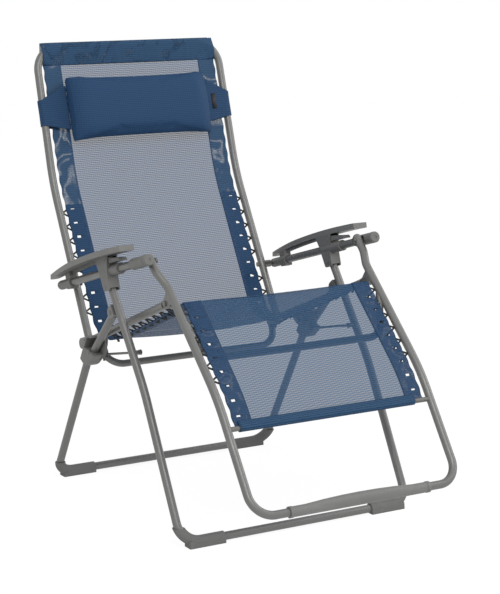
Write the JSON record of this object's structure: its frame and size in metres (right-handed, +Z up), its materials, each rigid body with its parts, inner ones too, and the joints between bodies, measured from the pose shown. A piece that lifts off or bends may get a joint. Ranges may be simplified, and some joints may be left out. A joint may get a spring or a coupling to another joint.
{
  "type": "zero gravity recliner",
  "caption": "Folding sling recliner: tubular steel frame, sliding armrests, laced mesh back, seat and leg rest, and a head pillow.",
  "frame": {"origin": "on the floor, under the middle of the open chair", "axes": "+X to the sitter's left, +Y behind the sitter, +Z up"},
  "size_m": [0.712, 1.1617, 1.1252],
  "materials": {
    "frame_paint": "satin powder coat",
    "arm_plastic": "fine grained moulding",
    "shoe_rubber": "matt",
    "bolt_steel": "satin",
    "mesh_fabric": "woven mesh",
    "pillow_fabric": "woven",
    "lace_elastic": "braided"
  },
  "bodies": {
    "front_legs": {"front_leg_frame": "frame_paint", "front_foot_l": "shoe_rubber", "front_foot_r": "shoe_rubber", "fold_bolts": "bolt_steel", "rod_caps": "arm_plastic"},
    "rear_legs": {"rear_leg_frame": "frame_paint", "hip_bracket_l": "arm_plastic", "hip_bracket_r": "arm_plastic", "strut_l": "frame_paint", "strut_r": "frame_paint", "strut_pins": "bolt_steel", "rear_foot_l": "shoe_rubber", "rear_foot_r": "shoe_rubber"},
    "hip_pins": {"hip_bolts": "bolt_steel"},
    "seat": {"seat_rail_l": "frame_paint", "seat_rail_r": "frame_paint", "seat_sling": "mesh_fabric", "seat_laces": "lace_elastic"},
    "back_pins": {"back_bolts": "bolt_steel", "seat_cross_bar": "frame_paint"},
    "back": {"back_frame": "frame_paint", "back_end_plugs": "arm_plastic", "back_sling": "mesh_fabric", "back_laces": "lace_elastic", "slide_rear_bolts": "bolt_steel"},
    "knee_pins": {"knee_bolts": "bolt_steel"},
    "leg_rest": {"leg_rest_frame": "frame_paint", "knee_cross_bar": "frame_paint", "hem_cross_bar": "frame_paint", "foot_grip": "arm_plastic", "leg_end_plugs": "arm_plastic", "leg_sling": "mesh_fabric", "leg_laces": "lace_elastic", "slide_front_bolts": "bolt_steel"},
    "arm_pivots": {"arm_pins": "bolt_steel"},
    "arms": {"arm_bracket_l": "arm_plastic", "arm_bracket_r": "arm_plastic", "arm_pad_l": "arm_plastic", "arm_pad_r": "arm_plastic"},
    "slides": {"slide_tube_l": "frame_paint", "slide_tube_r": "frame_paint", "front_socket_l": "arm_plastic", "front_socket_r": "arm_plastic", "rear_socket_l": "arm_plastic", "rear_socket_r": "arm_plastic"},
    "rods": {"limiter_rod_l": "bolt_steel", "limiter_rod_r": "bolt_steel"},
    "lever_left": {"lock_lever_l": "arm_plastic"},
    "lever_right": {"lock_lever_r": "arm_plastic"},
    "pillow": {"head_pillow": "pillow_fabric", "pillow_strap_l": "pillow_fabric", "pillow_strap_r": "pillow_fabric"}
  },
  "joints": [
    {"name": "fold", "type": "hinge", "parent": "front_legs", "child": "rear_legs", "pos_m": [0, 0.02884, 0.50614], "axis": [-1, 0, 0], "range_deg": [0, 50]},
    {"name": "hip_fold", "type": "hinge", "parent": "rear_legs", "child": "hip_pins", "pos_m": [0, 0.15495, 0.398], "axis": [-1, 0, 0], "range_deg": [-10.05, 0]},
    {"name": "hip_recline", "type": "hinge", "parent": "hip_pins", "child": "seat", "pos_m": [0, 0.15495, 0.398], "axis": [-1, 0, 0], "range_deg": [-0.5, 7]},
    {"name": "back_fold", "type": "hinge", "parent": "seat", "child": "back_pins", "pos_m": [0, 0.25398, 0.38603], "axis": [-1, 0, 0], "range_deg": [-10.49, 0]},
    {"name": "recline", "type": "hinge", "parent": "back_pins", "child": "back", "pos_m": [0, 0.25398, 0.38603], "axis": [-1, 0, 0], "range_deg": [0, 17]},
    {"name": "knee_fold", "type": "hinge", "parent": "seat", "child": "knee_pins", "pos_m": [0, -0.17401, 0.55895], "axis": [-1, 0, 0], "range_deg": [-14.61, 0]},
    {"name": "knee_recline", "type": "hinge", "parent": "knee_pins", "child": "leg_rest", "pos_m": [0, -0.17401, 0.55895], "axis": [-1, 0, 0], "range_deg": [-0.5, 26]},
    {"name": "arm_fold", "type": "hinge", "parent": "front_legs", "child": "arm_pivots", "pos_m": [0, 0.04378, 0.566], "axis": [-1, 0, 0], "range_deg": [0, 40.28]},
    {"name": "arm_recline", "type": "hinge", "parent": "arm_pivots", "child": "arms", "pos_m": [0, 0.04378, 0.566], "axis": [-1, 0, 0], "range_deg": [-0.5, 5.8]},
    {"name": "arm_slide", "type": "slide", "parent": "arms", "child": "slides", "axis": [0, 0.9605, -0.2783], "range_m": [0, 0.0602]},
    {"name": "rod_swing", "type": "hinge", "parent": "front_legs", "child": "rods", "pos_m": [0, -0.06278, 0.42199], "axis": [-1, 0, 0], "range_deg": [0, 36]},
    {"name": "lever_lift_left", "type": "hinge", "parent": "arms", "child": "lever_left", "pos_m": [0, 0.05023, 0.63139], "axis": [-1, 0, 0], "range_deg": [0, 7]},
    {"name": "lever_lift_right", "type": "hinge", "parent": "arms", "child": "lever_right", "pos_m": [0, 0.05023, 0.63139], "axis": [-1, 0, 0], "range_deg": [0, 7]},
    {"name": "pillow_slide", "type": "slide", "parent": "back", "child": "pillow", "axis": [0, 0.284, 0.9588], "range_m": [-0.04, 0.015]}
  ],
  "couplings": [
    {"joint": "hip_fold", "follows": "fold", "ratio": -0.20069},
    {"joint": "back_fold", "follows": "fold", "ratio": -0.20949},
    {"joint": "knee_fold", "follows": "fold", "ratio": -0.29192},
    {"joint": "arm_fold", "follows": "fold", "ratio": 0.80525},
    {"joint": "rod_swing", "follows": "fold", "ratio": 0.714},
    {"joint": "hip_recline", "follows": "recline", "ratio": 0.40126},
    {"joint": "knee_recline", "follows": "recline", "ratio": 1.5182},
    {"joint": "arm_recline", "follows": "recline", "ratio": 0.33088},
    {"joint": "arm_slide", "follows": "recline", "m_per_rad": 0.20213}
  ]
}
